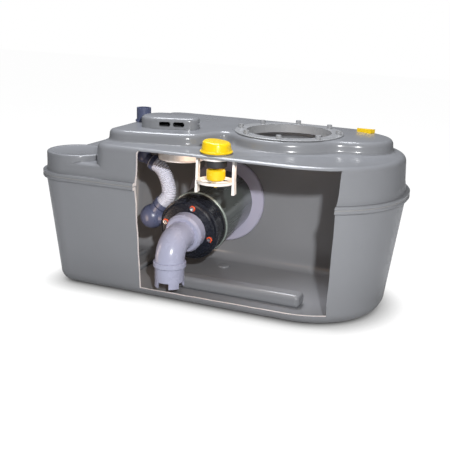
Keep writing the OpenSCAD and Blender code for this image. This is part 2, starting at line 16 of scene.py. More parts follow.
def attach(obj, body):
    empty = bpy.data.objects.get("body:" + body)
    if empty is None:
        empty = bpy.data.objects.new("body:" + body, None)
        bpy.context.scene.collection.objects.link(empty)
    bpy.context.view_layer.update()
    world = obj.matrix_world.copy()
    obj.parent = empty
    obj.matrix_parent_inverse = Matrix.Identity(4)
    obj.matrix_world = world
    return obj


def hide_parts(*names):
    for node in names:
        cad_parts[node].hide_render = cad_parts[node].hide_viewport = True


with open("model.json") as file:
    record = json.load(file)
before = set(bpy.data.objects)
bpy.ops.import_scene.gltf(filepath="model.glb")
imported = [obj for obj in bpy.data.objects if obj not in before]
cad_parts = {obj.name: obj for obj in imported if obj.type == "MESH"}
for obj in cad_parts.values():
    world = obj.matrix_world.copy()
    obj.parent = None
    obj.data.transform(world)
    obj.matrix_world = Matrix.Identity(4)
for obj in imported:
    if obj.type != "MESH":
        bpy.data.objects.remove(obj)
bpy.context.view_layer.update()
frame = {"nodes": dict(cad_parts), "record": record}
MM = 0.001

# %% [markdown]
# The camera comes first. It stands to the right of the front, a little above the tank, and is rolled by a
# degree or two, as a hand-held camera is. A camera can be aimed by a constraint, but a matrix from three
# angles also holds the roll.

# %% Camera
VIEW_AIM = Vector((-7.7, 0.0, 106.9)) * MM
VIEW_TURN, VIEW_RISE, VIEW_ROLL = math.radians(23.1), math.radians(15.7), math.radians(1.8)
VIEW_DISTANCE = 1477.9 * MM
SENSOR = 36.0
FRAME_PIXELS, FOCAL_PIXELS = 450.0, 850.0


def aim_camera():
    back = Vector((math.sin(VIEW_TURN) * math.cos(VIEW_RISE),
                   -math.cos(VIEW_TURN) * math.cos(VIEW_RISE), math.sin(VIEW_RISE)))
    right = Vector((math.cos(VIEW_TURN), math.sin(VIEW_TURN), 0.0))
    up = back.cross(right)
    right_rolled = right * math.cos(VIEW_ROLL) + up * math.sin(VIEW_ROLL)
    up_rolled = up * math.cos(VIEW_ROLL) - right * math.sin(VIEW_ROLL)
    turn = Matrix((right_rolled, up_rolled, back)).transposed().to_4x4()
    return Matrix.Translation(VIEW_AIM + back * VIEW_DISTANCE) @ turn


lens = bpy.data.cameras.new("studio_camera")
lens.sensor_fit = "HORIZONTAL"
lens.sensor_width = SENSOR
lens.lens = FOCAL_PIXELS / FRAME_PIXELS * SENSOR
lens.clip_start, lens.clip_end = 0.05, 30.0
camera = bpy.data.objects.new("studio_camera", lens)
bpy.context.scene.collection.objects.link(camera)
camera.matrix_world = aim_camera()
bpy.context.scene.camera = camera
print("camera at", [round(v, 3) for v in camera.matrix_world.translation])

# %% [markdown]
# Most pieces are moulded plastic. One recipe serves them all: a base colour that drifts a little, because
# moulded plastic is never perfectly even, a roughness that varies in soft patches, and a fine skin
# texture as bump. An image texture would show its seams on such big smooth walls, so the patterns are
# noise in the object's own coordinates.

# %% Finish recipe
NOISE_LOW, NOISE_HIGH = 0.3, 0.7
BLOTCH_FINER = 3.1
SKIN_DEPTH = 0.0004


def new_finish(name):
    finish = bpy.data.materials.new(name)
    finish.use_nodes = True
    tree = finish.node_tree
    return finish, tree, tree.nodes["Principled BSDF"]


def noise_at(tree, coords, scale, detail, stretch=(1.0, 1.0, 1.0)):
    place = tree.nodes.new("ShaderNodeMapping")
    place.inputs["Scale"].default_value = stretch
    tree.links.new(coords, place.inputs["Vector"])
    noise = tree.nodes.new("ShaderNodeTexNoise")
    noise.inputs["Scale"].default_value = scale
    noise.inputs["Detail"].default_value = detail
    noise.inputs["Roughness"].default_value = 0.55
    tree.links.new(place.outputs["Vector"], noise.inputs["Vector"])
    return noise.outputs["Fac"]


def colour_drift(tree, fac, low, high):
    ramp = tree.nodes.new("ShaderNodeValToRGB")
    ramp.color_ramp.elements[0].position = NOISE_LOW
    ramp.color_ramp.elements[1].position = NOISE_HIGH
    ramp.color_ramp.elements[0].color = (*low, 1.0)
    ramp.color_ramp.elements[1].color = (*high, 1.0)
    tree.links.new(fac, ramp.inputs["Fac"])
    return ramp.outputs["Color"]


def between(tree, fac, low, high):
    spread = tree.nodes.new("ShaderNodeMapRange")
    spread.inputs["From Min"].default_value = NOISE_LOW
    spread.inputs["From Max"].default_value = NOISE_HIGH
    spread.inputs["To Min"].default_value = low
    spread.inputs["To Max"].default_value = high
    tree.links.new(fac, spread.inputs["Value"])
    return spread.outputs["Result"]


def skin_bump(tree, fac, strength, depth):
    bump = tree.nodes.new("ShaderNodeBump")
    bump.inputs["Strength"].default_value = strength
    bump.inputs["Distance"].default_value = depth
    tree.links.new(fac, bump.inputs["Height"])
    return bump.outputs["Normal"]


def moulded(name, colour, drift, rough, skin, skin_size=900.0, patch=14.0,
            stretch=(1.0, 1.0, 1.0), metal=0.0, coat=0.0):
    finish, tree, shader = new_finish(name)
    coords = tree.nodes.new("ShaderNodeTexCoord").outputs["Object"]
    patches = noise_at(tree, coords, patch, 4.0, stretch)
    low = tuple(c * (1.0 - drift) for c in colour)
    high = tuple(min(1.0, c * (1.0 + drift)) for c in colour)
    tree.links.new(colour_drift(tree, patches, low, high), shader.inputs["Base Color"])
    blotches = noise_at(tree, coords, patch * BLOTCH_FINER, 3.0, stretch)
    tree.links.new(between(tree, blotches, rough[0], rough[1]), shader.inputs["Roughness"])
    grain = noise_at(tree, coords, skin_size, 2.0, stretch)
    tree.links.new(skin_bump(tree, grain, skin, SKIN_DEPTH), shader.inputs["Normal"])
    shader.inputs["Metallic"].default_value = metal
    shader.inputs["Coat Weight"].default_value = coat
    shader.inputs["Coat Roughness"].default_value = 0.08
    return finish


print("finish recipe ready")

# %% [markdown]
# The numbers are what makes a glossy pipe differ from a dull gasket: the colour and how far it drifts,
# the range of roughness, the strength of the skin, the fineness of the skin and of the patches. Drawn or
# laminated pieces stretch the pattern along one axis, and metals and lacquered pieces say so at the end.

# %% Finishes
TANK_GREY = (0.212, 0.218, 0.232)
FINISH = {
    "tank": moulded("tank_plastic", TANK_GREY, 0.03, (0.18, 0.27), 0.05, 420.0, 5.0),
    "cut": moulded("fresh_cut_plastic", (0.80, 0.74, 0.72), 0.10, (0.5, 0.7), 0.35, 300.0, 60.0),
    "seam": moulded("weld_line", (0.25, 0.245, 0.235), 0.10, (0.4, 0.6), 0.2),
    "grey": moulded("collar_plastic", (0.29, 0.295, 0.305), 0.05, (0.2, 0.32), 0.08),
    "rubber": moulded("gasket_rubber", (0.022, 0.022, 0.024), 0.25, (0.5, 0.72), 0.25, 700.0, 30.0),
    "white": moulded("white_plastic", (0.90, 0.85, 0.81), 0.03, (0.35, 0.5), 0.08),
    "yellow": moulded("signal_yellow_plastic", (0.88, 0.58, 0.006), 0.05, (0.18, 0.3), 0.06, 700.0, 40.0,
                      coat=0.15),
    "tube": moulded("dark_motor_tube", (0.15, 0.172, 0.168), 0.10, (0.2, 0.3), 0.05, 220.0, 18.0,
                    (1.0, 0.12, 1.0), metal=0.45, coat=0.4),
    # The tube rim's pale colour is a painted highlight on the edge of the tube's end.
    "rim": moulded("tube_rim_painted_highlight", (0.36, 0.42, 0.39), 0.06, (0.24, 0.36), 0.05, 300.0, 30.0,
                   metal=0.3, coat=0.3),
    "pale": moulded("lilac_ring_plastic", (0.42, 0.41, 0.52), 0.05, (0.32, 0.45), 0.08),
    "black": moulded("black_housing_plastic", (0.012, 0.014, 0.021), 0.2, (0.2, 0.34), 0.12, 800.0, 25.0),
    "navy": moulded("navy_black_plastic", (0.085, 0.10, 0.175), 0.15, (0.24, 0.38), 0.10, 800.0, 25.0),
    "steel": moulded("bright_steel", (0.62, 0.62, 0.63), 0.08, (0.18, 0.32), 0.15, 400.0, 60.0, metal=1.0),
    "orange": moulded("red_sealing_washer", (0.80, 0.10, 0.03), 0.12, (0.4, 0.55), 0.15),
    "ball": moulded("check_ball_rubber", (0.42, 0.10, 0.04), 0.1, (0.45, 0.6), 0.15),
    "alu": moulded("cast_aluminium", (0.55, 0.55, 0.56), 0.08, (0.38, 0.55), 0.4, 350.0, 40.0, metal=1.0),
    "winding": moulded("varnished_winding", (0.40, 0.19, 0.07), 0.25, (0.35, 0.5), 0.5, 260.0, 60.0,
                       (1.0, 3.0, 1.0), metal=0.6),
    "core": moulded("laminated_core", (0.18, 0.18, 0.185), 0.12, (0.4, 0.55), 0.4, 500.0, 40.0,
                    (1.0, 6.0, 1.0), metal=0.9),
    "pipe": moulded("waste_pipe_grey", (0.37, 0.38, 0.50), 0.04, (0.2, 0.32), 0.07, 600.0, 20.0),
    "hose": moulded("ribbed_hose_plastic", (0.62, 0.63, 0.72), 0.05, (0.24, 0.38), 0.06, 700.0, 40.0),
}
print("finishes:", len(FINISH))

# %% [markdown]
# The solids that stay get the finish of their slot. The valve and the outlet are moulded in a bluer black
# than the pump's end, so these few take the navy finish in place of their slot's.

# %% Finishes on the solids
NAVY_NODES = ("valve_elbow", "outlet_stub", "stub_nut", "hose_clip_low", "hose_clip_high")
for part in frame["record"]["subparts"]:
    node_object = frame["nodes"][part["node"]]
    look = FINISH["navy" if part["node"] in NAVY_NODES else part["material_slot"]]
    node_object.data.materials.clear()
    node_object.data.materials.append(look)

# %% [markdown]
# The tank mouldings are all prisms with rounded plan shapes, leaning walls and rolled edges. By hand one
# would draw the plan as a flat face and then extrude and inset it in steps, so the same is done here:
# each step moves the face by a small inset and a small rise. A quarter round is a few such steps. A bevel
# could round the edges afterwards, but it often tangles where rounds of different sizes meet.

# %% Quarter rounds and selection


def begin():
    if bpy.context.object and bpy.context.object.mode != "OBJECT":
        bpy.ops.object.mode_set(mode="OBJECT")
    bpy.ops.object.select_all(action="DESELECT")


def only(piece):
    begin()
    piece.select_set(True)
    bpy.context.view_layer.objects.active = piece


def quarter_turn(count):
    return [math.pi / 2 * i / count for i in range(count + 1)]


def roll_over(radius, count=7):
    """Steps (inset, rise) of a convex quarter round from a wall onto a flat top."""
    turn = quarter_turn(count)
    return [(radius * (math.cos(a) - math.cos(b)), radius * (math.sin(b) - math.sin(a)))
            for a, b in zip(turn, turn[1:])]


def flare(radius, count=5):
    """Steps of a concave quarter round from a flat deck up into a wall."""
    turn = quarter_turn(count)
    return [(radius * (math.sin(b) - math.sin(a)), radius * (math.cos(a) - math.cos(b)))
            for a, b in zip(turn, turn[1:])]


print("a 10 mm round goes in by", round(sum(inset for inset, _ in roll_over(10.0)), 3), "mm")

# %% [markdown]
# The inset operator draws each edge in by itself and can tangle on fine outlines. Here the face is
# extruded in place, and each of its points then moves along the outline's own normal, which keeps the
# rings even.

# %% Growing a moulding from its plan
NO_INSET = 1e-6
SAME_POINT = 1e-6


def grow_from_plan(name, plan, base, steps, upward=True):
    """Raises a flat face by steps of (inset, rise). The first step is a straight rise."""
    begin()
    bpy.ops.mesh.primitive_circle_add(vertices=len(plan), radius=0.1, fill_type="NGON")
    piece = bpy.context.object
    piece.name = piece.data.name = name
    for vertex, point in zip(piece.data.vertices, plan):
        vertex.co = (point[0] * MM, point[1] * MM, base * MM)
    bpy.ops.object.mode_set(mode="EDIT")
    bpy.ops.mesh.select_all(action="SELECT")
    sense = 1.0 if upward else -1.0
    bpy.ops.mesh.normals_make_consistent(inside=False)
    for inset, rise in steps:
        if abs(inset) < NO_INSET:
            bpy.ops.mesh.extrude_region_move(TRANSFORM_OT_translate={"value": (0, 0, sense * rise * MM)})
        else:
            bpy.ops.mesh.extrude_region_move(TRANSFORM_OT_translate={"value": (0, 0, 0)})
            shrink_top(piece, inset * MM, sense * rise * MM)
    bpy.ops.mesh.select_all(action="SELECT")
    bpy.ops.mesh.remove_doubles(threshold=SAME_POINT)
    bpy.ops.mesh.normals_make_consistent(inside=False)
    bpy.ops.object.mode_set(mode="OBJECT")
    return piece


def shrink_top(piece, inset, rise):
    """Draws the selected face in by an even amount along its own outline's normals, and moves it."""
    mesh = bmesh.from_edit_mesh(piece.data)
    top = [f for f in mesh.faces if f.select][0]
    ring = [loop.vert for loop in top.loops]
    places = [v.co.copy() for v in ring]
    count = len(ring)
    area = sum(here.x * after.y - after.x * here.y for here, after in zip(places, places[1:] + places[:1]))
    side = 1.0 if area > 0 else -1.0
    for i, vertex in enumerate(ring):
        before = (places[i] - places[i - 1]).to_2d()
        after = (places[(i + 1) % count] - places[i]).to_2d()
        before.normalize()
        after.normalize()
        left = Vector((-before.y - after.y, before.x + after.x)) * side
        left.normalize()
        even = max(0.5, left.dot(Vector((-before.y, before.x)) * side))
        vertex.co = places[i] + Vector((left.x * inset / even, left.y * inset / even, rise))
    bmesh.update_edit_mesh(piece.data)


print("an inset under", NO_INSET, "mm is a straight rise")

# %% [markdown]
# Blocks are joined and cut by booleans with the exact solver, because the fast one can drop faces where
# two walls nearly touch. A finished piece has its doubles merged and its place applied, is shaded smooth
# up to an angle, and is tied to the body that it moves with, and the solid that it stands for is hidden.

# %% Joining and finishing
MERGE = 2e-6


def combine(piece, other, how, cut_finish=False):
    """Joins or cuts a piece with another one, which is used up. A cut can hand over its own finish."""
    only(piece)
    step = piece.modifiers.new(how.lower(), "BOOLEAN")
    step.operation = how
    step.solver = "EXACT"
    step.object = other
    if cut_finish:
        step.material_mode = "TRANSFER"
    bpy.ops.object.modifier_apply(modifier=step.name)
    bpy.data.objects.remove(other, do_unlink=True)


def polish(piece, body, slot_name, finish, *nodes, angle=38.0):
    """Cleans a finished mesh, shades it, ties it to its body and hides the nodes that it stands for. The
    slot name is not used.
    """
    only(piece)
    bpy.ops.object.mode_set(mode="EDIT")
    bpy.ops.mesh.select_all(action="SELECT")
    bpy.ops.mesh.remove_doubles(threshold=MERGE)
    bpy.ops.mesh.dissolve_degenerate(threshold=MERGE)
    bpy.ops.object.mode_set(mode="OBJECT")
    bpy.ops.object.transform_apply(location=True, rotation=True, scale=True)
    if not any(piece.data.materials):
        piece.data.materials.append(finish)
    bpy.ops.object.shade_smooth_by_angle(angle=math.radians(angle))
    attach(piece, body)
    if nodes:
        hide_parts(*nodes)
    print(piece.name, "faces:", len(piece.data.polygons))


print("points closer than", MERGE, "m are merged")

# %% [markdown]
# The plan of the tank has small corners at the left and a big rounded right end. All of the tank's levels
# use this plan drawn in by some amount, so it is written once. The sizes are those of the solids, in
# millimetres: half of the length and depth over the weld band, the corners, the heights where the tub
# ends and the cover begins, the band's height and how far it stands out, how far the wall leans in on its
# way down, the round foot, the wall, and the heights of the cover's levels.

# %% Plan of the tank
HALF_L, HALF_D = 302.0, 156.0
CORNER_L, CORNER_R = 60.0, 150.0
LEFT_POINTS, RIGHT_POINTS = 24, 40
SPLIT, COVER_LOW = 193.5, 194.5
BAND, BAND_OUT, LEAN, FOOT, WALL = 5.5, 6.0, 24.0, 22.0, 4.0
LEDGE, DECK, PLATFORM, STEP_X = 221.0, 256.0, 275.0, -189.0


def corner_points(cx, cy, radius, start, count):
    return [(cx + radius * math.cos(math.radians(start + 90.0 * i / count)),
             cy + radius * math.sin(math.radians(start + 90.0 * i / count))) for i in range(count + 1)]


def tank_plan(inset, left=-HALF_L, left_corner=CORNER_L):
    return (corner_points(HALF_L - CORNER_R, HALF_D - CORNER_R, CORNER_R - inset, 0, RIGHT_POINTS)
            + corner_points(left + left_corner, HALF_D - left_corner, left_corner - inset, 90, LEFT_POINTS)
            + corner_points(left + left_corner, left_corner - HALF_D, left_corner - inset, 180, LEFT_POINTS)
            + corner_points(HALF_L - CORNER_R, CORNER_R - HALF_D, CORNER_R - inset, 270, RIGHT_POINTS))


def ring_plan(cx, cy, radius, count=120):
    turns = [2 * math.pi * i / count for i in range(count)]
    return [(cx + radius * math.cos(a), cy + radius * math.sin(a)) for a in turns]


def wall_lean(z):
    return BAND_OUT + LEAN * (SPLIT - BAND - z) / (SPLIT - BAND)


print("plan points:", len(tank_plan(0.0)))

# %% [markdown]
# The window was cut by hand with a saw: its edges wander by a few tenths of a millimetre, its right side
# leans and its upper left corner is rounded. The cutter is drawn as a face with many points along its
# sides, so that the wander shows, and is then extruded through the front wall. The pale fresh cut comes
# along with it, because a boolean can hand over the cutter's finish to the faces it makes.

# %% Window cutter
SAW_SPACING = 16.0
CUT_START, CUT_DEPTH = -0.220, 0.120
WINDOW = [(-105.0, 15.0), (214.0, 17.5), (228.0, 251.5), (-98.0, 251.5), (-101.0, 250.5), (-102.0, 247.5)]


def saw_wander(number):
    return 0.35 * math.sin(1.7 * number) + 0.25 * math.sin(4.3 * number + 1.0)


def window_cutter():
    outline = []
    for (ax, az), (bx, bz) in zip(WINDOW, WINDOW[1:] + WINDOW[:1]):
        count = max(1, int(math.hypot(bx - ax, bz - az) / SAW_SPACING))
        for i in range(count):
            outline.append((ax + (bx - ax) * i / count, az + (bz - az) * i / count))
    begin()
    bpy.ops.mesh.primitive_circle_add(vertices=len(outline), radius=0.1, fill_type="NGON")
    cutter = bpy.context.object
    for number, (vertex, (x, z)) in enumerate(zip(cutter.data.vertices, outline)):
        sag = min(0.0, saw_wander(number + 9))
        vertex.co = ((x + saw_wander(number)) * MM, CUT_START, (z + sag) * MM)
    bpy.ops.object.mode_set(mode="EDIT")
    bpy.ops.mesh.select_all(action="SELECT")
    bpy.ops.mesh.extrude_region_move(TRANSFORM_OT_translate={"value": (0, CUT_DEPTH, 0)})
    bpy.ops.mesh.select_all(action="SELECT")
    bpy.ops.mesh.normals_make_consistent(inside=False)
    bpy.ops.object.mode_set(mode="OBJECT")
    cutter.data.materials.append(FINISH["cut"])
    return cutter


print("window corners:", len(WINDOW))

# %% [markdown]
# The tub hangs from the weld band: a thin lip that stands out, a wall that leans inwards going down and a
# round foot. It is built downwards from the lip and hollowed by a second, smaller tub. The bar, the ribs
# and the round mark on the floor are added, and the window is cut last.

# %% Tub
TUB_STRAIGHT = 1.0
FLOOR_MARK, FLOOR_MARK_R = (-40.0, 76.0), 11.0
FLOOR_RIBS = (-210.0, -170.0)


def tub_steps(top, foot):
    lean_drop = wall_lean(FOOT) - wall_lean(SPLIT)
    return [(0.0, TUB_STRAIGHT), (lean_drop, top - FOOT - TUB_STRAIGHT)] + roll_over(foot, 9)


def soft_block(middle, size, edge, segments):
    begin()
    bpy.ops.mesh.primitive_cube_add(size=1.0)
    block = bpy.context.object
    block.data.transform(Matrix.Translation(middle) @ Matrix.Diagonal((*size, 1.0)))
    only(block)
    soften = block.modifiers.new("soften", "BEVEL")
    soften.width = edge
    soften.segments = segments
    bpy.ops.object.modifier_apply(modifier=soften.name)
    return block


def floor_rib(x):
    return soft_block(middle=(x * MM, 0.0, 0.007), size=(0.010, 0.160, 0.008), edge=0.003, segments=4)


tub = grow_from_plan("tank_tub_moulding", tank_plan(wall_lean(SPLIT)), SPLIT, tub_steps(SPLIT, FOOT),
                     upward=False)
tub_lip_steps = [(0.0, 0.5), (-1.0, 1.0), (0.0, 3.0), (0.6, 1.0)]
combine(tub, grow_from_plan("tub_lip", tank_plan(1.0), SPLIT - BAND, tub_lip_steps), "UNION")
hollow = grow_from_plan("tub_hollow", tank_plan(wall_lean(SPLIT) + WALL), SPLIT + 1.0,
                        tub_steps(SPLIT + 1.0, FOOT - WALL), upward=False)
combine(tub, hollow, "DIFFERENCE")
floor_bar = soft_block(middle=(0.0225, -0.052, 0.014), size=(0.265, 0.032, 0.022), edge=0.0075, segments=6)
floor_mark = grow_from_plan("floor_mark", ring_plan(*FLOOR_MARK, FLOOR_MARK_R, 40), WALL - 1.0,
                            [(0.0, 1.5)] + roll_over(2.0, 4))
for addition in [floor_bar, *map(floor_rib, FLOOR_RIBS), floor_mark]:
    combine(tub, addition, "UNION")
tub.data.materials.clear()
tub.data.materials.append(FINISH["tank"])
combine(tub, window_cutter(), "DIFFERENCE", cut_finish=True)
polish(tub, "tank", "tank", FINISH["tank"], "tank_tub")

# %% [markdown]
# The raised platform of the cover has a wavy outline that follows the hatch and the vent. It could be
# drawn as one curve, but then each change of a lobe means a new curve. Here the lobes are joined softly
# as distances: along each ray from the middle the edge is found from outside, and the outline is then
# smoothed, which rounds the inner corners between the lobes as the real moulding does.

# %% Platform outline
HATCH, HATCH_LOBE_R = (91.0, 28.5), 97.0
MARKER_LOBE, MARKER_LOBE_R = (203.0, 50.0), 60.0
MIDDLE_STRIP, MIDDLE_ROUND = ((-10, 30), (70, 30)), 42.0
VENT_LOBE = [(-153, -80), (-54, -58), (-40, 103), (-153, 103)]
BACK_STRIP = ((-40, 103), (176, 100))
LOBE_ROUND = 35.0
PLATFORM_MIDDLE = (20.0, 45.0)
SMOOTHINGS = 14


def far_from_segment(p, a, b):
    ab = (b[0] - a[0], b[1] - a[1])
    t = ((p[0] - a[0]) * ab[0] + (p[1] - a[1]) * ab[1]) / (ab[0] ** 2 + ab[1] ** 2)
    t = max(0.0, min(1.0, t))
    return math.hypot(p[0] - a[0] - t * ab[0], p[1] - a[1] - t * ab[1])


def far_from_polygon(p, corners):
    edge = min(far_from_segment(p, a, b) for a, b in zip(corners, corners[1:] + corners[:1]))
    inside = all((b[0] - a[0]) * (p[1] - a[1]) - (b[1] - a[1]) * (p[0] - a[0]) >= 0
                 for a, b in zip(corners, corners[1:] + corners[:1]))
    return -edge if inside else edge


def soft_join(a, b, reach):
    h = max(reach - abs(a - b), 0.0) / reach
    return min(a, b) - h * h * reach * 0.25


def platform_edge(p):
    """How far a point is outside the softly joined lobes, negative inside them."""
    edge = far_from_polygon(p, VENT_LOBE) - LOBE_ROUND
    edge = soft_join(edge, far_from_segment(p, *MIDDLE_STRIP) - MIDDLE_ROUND, reach=22.0)
    edge = soft_join(edge, far_from_segment(p, *BACK_STRIP) - LOBE_ROUND, reach=6.0)
    edge = soft_join(edge, math.dist(p, HATCH) - HATCH_LOBE_R, reach=30.0)
    return soft_join(edge, math.dist(p, MARKER_LOBE) - MARKER_LOBE_R, reach=24.0)


def on_ray(turn, reach):
    return (PLATFORM_MIDDLE[0] + reach * math.cos(turn), PLATFORM_MIDDLE[1] + reach * math.sin(turn))


def edge_on_ray(turn, near=20.0, far=420.0, step=4.0):
    """Steps inwards until the platform is met, and halves the last step to find its edge."""
    reach = far
    while reach > near and platform_edge(on_ray(turn, reach)) > 0:
        reach -= step
    low, high = reach, reach + step
    for _ in range(20):
        mid = (low + high) / 2
        if platform_edge(on_ray(turn, mid)) > 0:
            high = mid
        else:
            low = mid
    return on_ray(turn, low)


def evened(plan, count):
    """The same closed outline with its points at even spacing."""
    closed = plan + plan[:1]
    lengths = [math.dist(a, b) for a, b in zip(closed, closed[1:])]
    total, out, walked, k = sum(lengths), [], 0.0, 0
    for i in range(count):
        goal = total * i / count
        while walked + lengths[k] < goal:
            walked += lengths[k]
            k += 1
        t = (goal - walked) / lengths[k]
        out.append(tuple(closed[k][c] + (closed[k + 1][c] - closed[k][c]) * t for c in (0, 1)))
    return out


def platform_plan(count=300):
    plan = evened([edge_on_ray(2 * math.pi * i / count) for i in range(count)], count)
    for _ in range(SMOOTHINGS):
        plan = [tuple(0.25 * before[c] + 0.5 * here[c] + 0.25 * after[c] for c in (0, 1))
                for before, here, after in zip(plan[-1:] + plan[:-1], plan, plan[1:] + plan[:1])]
    return evened(plan, count)


PLATFORM_PLAN = platform_plan()
print("platform outline:", len(PLATFORM_PLAN), "points")

# %% [markdown]
# The cover is one moulding with three levels, a low ledge at the left, the main deck and the platform,
# and a round tower at its corner. Each level is grown from its plan and joined, and the cover is hollowed
# by the same levels drawn in by the wall. Solidify could give the wall, but it can fold over itself at
# the tight rounds.

# %% Cover levels
TOWER, TOWER_R, TOWER_TOP, TOWER_ROLL = (CORNER_L - HALF_L, CORNER_L - HALF_D), 52.7, 231.0, 2.5
TOWER_SUNK = 4.0
STRAIGHT, DRAFT = 6.0, 2.0
DECK_LEFT, DECK_CORNER, DECK_ROLL = STEP_X - 8.0, 40.0, 10.0
PLATFORM_LEFT, PLATFORM_SKIRT, PLATFORM_ROLL = STEP_X + 8.3, 5.0, 9.0
PLATFORM_SUNK, SKIRT_SUNK = 12.0, 0.3
LEDGE_HOLLOW_END = -120.0


def drawn_in(plan, inset):
    count = len(plan)
    out = []
    for i in range(count):
        a, b = Vector(plan[i - 1]), Vector(plan[(i + 1) % count])
        run = (b - a).normalized()
        out.append((plan[i][0] - run.y * inset, plan[i][1] + run.x * inset))
    return out


def squared(plan, low=-1e6, high=1e6):
    """Cuts the plan straight at its left or right end, with no points along the cut."""
    held = [(min(max(x, low), high), y) for x, y in plan]
    count = len(held)
    kept = [held[i] for i in range(count) if not held[i - 1][0] == held[i][0] == held[(i + 1) % count][0]]
    ends = [p for p in kept if p[0] in (low, high)]
    return [p for p in kept if p in ends or min(math.dist(p, end) for end in ends) > 6.0]


def cover_levels(d, low):
    """Ledge, deck, platform and tower as closed blocks, all drawn in by d."""
    ledge_plan = tank_plan(BAND_OUT + d)
    if d > 0:
        ledge_plan = squared(ledge_plan, high=LEDGE_HOLLOW_END)
    ledge = grow_from_plan("ledge_level", ledge_plan, low,
                           [(0.0, STRAIGHT), (DRAFT, LEDGE - d - DECK_ROLL - low - STRAIGHT)]
                           + roll_over(DECK_ROLL))
    deck = grow_from_plan("deck_level", tank_plan(BAND_OUT + DRAFT + d, DECK_LEFT, DECK_CORNER), low,
                          [(0.0, STRAIGHT), (DRAFT, DECK - d - DECK_ROLL - low - STRAIGHT)]
                          + roll_over(DECK_ROLL, 8))
    skirt = PLATFORM_SKIRT if d == 0 else 0.0
    base = squared(drawn_in(PLATFORM_PLAN, d - skirt), low=PLATFORM_LEFT + d - skirt)
    rise = PLATFORM - d - PLATFORM_ROLL - DECK - skirt + SKIRT_SUNK
    lead = flare(skirt) if skirt else []
    platform = grow_from_plan("platform_level", base, DECK - PLATFORM_SUNK - SKIRT_SUNK,
                              [(0.0, PLATFORM_SUNK)] + lead + [(0.5, rise)] + roll_over(PLATFORM_ROLL, 8))
    tower = grow_from_plan("tower_level", ring_plan(*TOWER, TOWER_R - d), low + TOWER_SUNK,
                           [(0.0, TOWER_TOP - d - low - TOWER_SUNK - TOWER_ROLL)] + roll_over(TOWER_ROLL, 4))
    return [ledge, deck, platform, tower]


outside = cover_levels(0.0, COVER_LOW)
cover = outside[0]
cover.name = cover.data.name = "tank_cover_moulding"
for level in outside[1:]:
    combine(cover, level, "UNION")
cover_lip_steps = [(0.0, 0.35), (-0.6, 0.8), (0.0, 3.0), (1.0, 1.2)]
combine(cover, grow_from_plan("cover_lip", tank_plan(0.6), COVER_LOW + 0.15, cover_lip_steps), "UNION")
inside = cover_levels(WALL, COVER_LOW - 1.0)
for level in inside[1:]:
    combine(inside[0], level, "UNION")
combine(cover, inside[0], "DIFFERENCE")
print("cover shell faces:", len(cover.data.polygons))

# %% [markdown]
# Four holes go through the cover: the hatch, the outlet and the vent in the platform, and the float valve
# in the deck. The tower's top is dished. The drill has its own count of sides and is turned by a hair,
# because a boolean is safest where the edges of its two meshes don't line up.

# %% Holes in the cover
DRILL_SIDES, DRILL_TURN = 92, 0.013
DISH_R, DISH_FROM = 46.0, 235.0
HATCH_R, OUTLET_R, VALVE_R, VENT_HOLE_R = 80.3, 12.8, 21.3, 10.0
OUTLET, VALVE, VENT_HOLE = (-165.4, -5.98), (23.0, -115.0), (-76.0, -38.0)
THROUGH_PLATFORM, THROUGH_DECK = (262.0, 290.0), (240.0, 270.0)


def drill(x, y, radius, low, high):
    begin()
    bpy.ops.mesh.primitive_cylinder_add(vertices=DRILL_SIDES, radius=radius * MM, depth=(high - low) * MM,
                                        location=(x * MM, y * MM, (low + high) / 2 * MM),
                                        rotation=(0.0, 0.0, DRILL_TURN))
    bpy.ops.object.transform_apply(location=True, rotation=True)
    return bpy.context.object


dish = grow_from_plan("tower_dish", ring_plan(*TOWER, DISH_R), DISH_FROM,
                      [(0.0, 3.5), (1.5, 1.0), (2.0, 0.5)], upward=False)
combine(cover, dish, "DIFFERENCE")
for hole in [(*HATCH, HATCH_R, *THROUGH_PLATFORM), (*OUTLET, OUTLET_R, *THROUGH_PLATFORM),
             (*VALVE, VALVE_R, *THROUGH_DECK), (*VENT_HOLE, VENT_HOLE_R, *THROUGH_PLATFORM)]:
    combine(cover, drill(*hole), "DIFFERENCE")
cover.data.materials.clear()
cover.data.materials.append(FINISH["tank"])
combine(cover, window_cutter(), "DIFFERENCE", cut_finish=True)
polish(cover, "tank", "tank", FINISH["tank"], "tank_cover")

# %% [markdown]
# The ribbed hose runs from the round valve elbow up and over to the outlet. A real one is blow-moulded in
# round ribs. It could be a curve with a round bevel, but then each rib needs points of its own on the
# curve. So the route comes first, smooth through a few points, with a straight end at each spigot.

# %% Hose route
VALVE_ELBOW = Vector((-147.0, OUTLET[1], 105.80))
SPIGOT_TURN, SPIGOT_LENGTH = math.atan2(20.0, 26.0), 25.0
SPIGOT_RUN = Vector((math.sin(SPIGOT_TURN), 0.0, math.cos(SPIGOT_TURN)))
HOSE_START = VALVE_ELBOW + SPIGOT_LENGTH * SPIGOT_RUN
TAIL_TOP, TAIL_DROP = Vector((*OUTLET, 214.0)), math.radians(26.0)
TAIL_RUN = Vector((math.cos(TAIL_DROP), 0.0, -math.sin(TAIL_DROP)))
HOSE_BEND = [Vector((x, OUTLET[1], z)) for x, z in [(-114.6, 157.5), (-118.8, 175.0), (-126.5, 190.0)]]
HOSE_ROUTE = [HOSE_START, HOSE_START + 24.0 * SPIGOT_RUN, *HOSE_BEND,
              TAIL_TOP + 33.0 * TAIL_RUN, TAIL_TOP + 17.0 * TAIL_RUN]


def on_route(u):
    last = len(HOSE_ROUTE) - 1
    k = min(int(u), last - 1)
    t = u - k
    a, b, c, d = (HOSE_ROUTE[max(0, min(last, k + j))] for j in (-1, 0, 1, 2))
    if k in (0, last - 1):
        return b.lerp(c, t)
    bend, twist = 2 * a - 5 * b + 4 * c - d, 3 * b - a - 3 * c + d
    return 0.5 * (2 * b + (c - a) * t + bend * t * t + twist * t ** 3)


